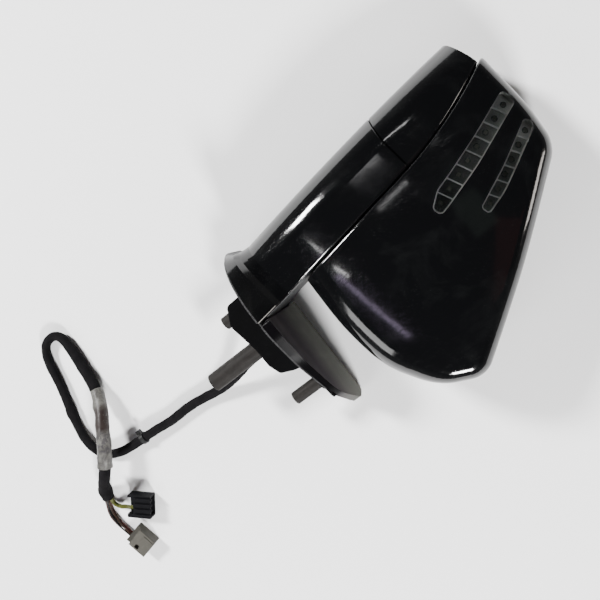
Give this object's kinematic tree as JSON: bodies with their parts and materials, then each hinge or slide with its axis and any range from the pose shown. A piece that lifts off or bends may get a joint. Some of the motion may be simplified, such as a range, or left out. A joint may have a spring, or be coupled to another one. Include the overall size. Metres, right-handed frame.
{
  "type": "car side mirror",
  "caption": "Power-folding car side mirror, right hand: glossy cap with light strips, arm, door foot with stud bushes, adjustable glass and taped harness with plugs.",
  "frame": {"origin": "centre of the underside of the mirror's own box, without the harness, as it lies glass down on a bench", "axes": "+X outboard, square to the door face; +Z the car's forward, up off the bench; -Y the car's up"},
  "size_m": [0.5439, 0.264, 0.107],
  "materials": {
    "gloss_black": "piano black lacquer",
    "satin_black": "fine grain",
    "frame_plastic": "glass-filled",
    "zinc": "zinc plated",
    "drive_plastic": "moulded",
    "motor_can": "plated can",
    "clear_lens": "clear moulded lens",
    "bright_silver": "vacuum metallised",
    "circuit_board": "solder mask",
    "emitter": "phosphor",
    "white_plastic": "acetal",
    "heater_film": "printed film",
    "mirror_face": "silvered glass",
    "grained_grey": "grained",
    "foam": "closed-cell foam",
    "cast_black": "black coated casting",
    "stud_bronze": "grey-brown phosphated",
    "steel": "turned",
    "rubber_black": "moulded",
    "cloth_tape": "woven harness tape",
    "paper": "crumpled paper film",
    "tie_plastic": "nylon",
    "wire_green": "insulated wires",
    "wire_brown": "insulated wires",
    "connector_black": "moulded",
    "connector_white": "moulded natural nylon"
  },
  "bodies": {
    "head": {"front_cap": "gloss_black", "housing_floor": "satin_black", "glass_bezel": "satin_black", "lower_cover": "gloss_black", "head_frame": "frame_plastic", "frame_screws": "zinc", "fold_gearbox": "drive_plastic", "gearbox_lid": "drive_plastic", "gearbox_screws": "zinc", "fold_motor": "motor_can", "adjuster_case": "drive_plastic", "adjuster_lid": "drive_plastic", "adjuster_screws": "zinc", "pan_motor": "motor_can", "tilt_motor": "motor_can", "light_lens_upper": "clear_lens", "light_lens_lower": "clear_lens", "light_reflector_upper": "bright_silver", "light_reflector_lower": "bright_silver", "light_board_upper": "circuit_board", "light_board_lower": "circuit_board", "light_emitters_upper": "emitter", "light_emitters_lower": "emitter"},
    "pan_rod": {"pan_plunger": "white_plastic"},
    "tilt_rod": {"tilt_plunger": "white_plastic"},
    "gimbal": {"gimbal_ring": "white_plastic"},
    "glass": {"glass_carrier": "frame_plastic", "heater_pad": "heater_film", "mirror_glass": "mirror_face"},
    "foot": {"foot_cover": "gloss_black", "arm_rear_panel": "satin_black", "panel_screws": "zinc", "sail_plate": "grained_grey", "foot_gasket": "foam", "foot_frame": "cast_black", "centre_stud": "stud_bronze", "upper_stud": "stud_bronze", "lower_stud": "stud_bronze", "pivot_tube": "steel", "detent_ring": "steel", "fold_gear": "white_plastic", "fold_spring": "steel", "spring_washer": "steel", "circlip": "steel", "cable_grommet": "rubber_black", "harness_cord": "cloth_tape", "harness_label": "paper", "cable_tie": "tie_plastic", "branch_wires_black": "wire_green", "branch_wires_white": "wire_brown", "black_connector": "connector_black", "white_connector": "connector_white"}
  },
  "joints": [
    {"name": "fold", "type": "hinge", "parent": "foot", "child": "head", "pos_m": [0.00188, 0.03252, 0.056], "axis": [-0.1542, 0.988, 0], "range_deg": [-45, 70]},
    {"name": "glass_tilt", "type": "hinge", "parent": "head", "child": "gimbal", "pos_m": [0.06448, -0.01844, 0.017], "axis": [0.988, 0.1542, 0], "range_deg": [-7, 7]},
    {"name": "glass_pan", "type": "hinge", "parent": "gimbal", "child": "glass", "pos_m": [0.06448, -0.01844, 0.017], "axis": [-0.1542, 0.988, 0], "range_deg": [-7, 7]},
    {"name": "tilt_jack", "type": "slide", "parent": "head", "child": "tilt_rod", "axis": [0, 0, 1], "range_m": [-0.0045, 0.0045]},
    {"name": "pan_jack", "type": "slide", "parent": "head", "child": "pan_rod", "axis": [0, 0, 1], "range_m": [-0.0045, 0.0045]}
  ],
  "couplings": [
    {"joint": "tilt_jack", "follows": "glass_tilt", "m_per_rad": 0.036},
    {"joint": "pan_jack", "follows": "glass_pan", "m_per_rad": -0.036}
  ]
}
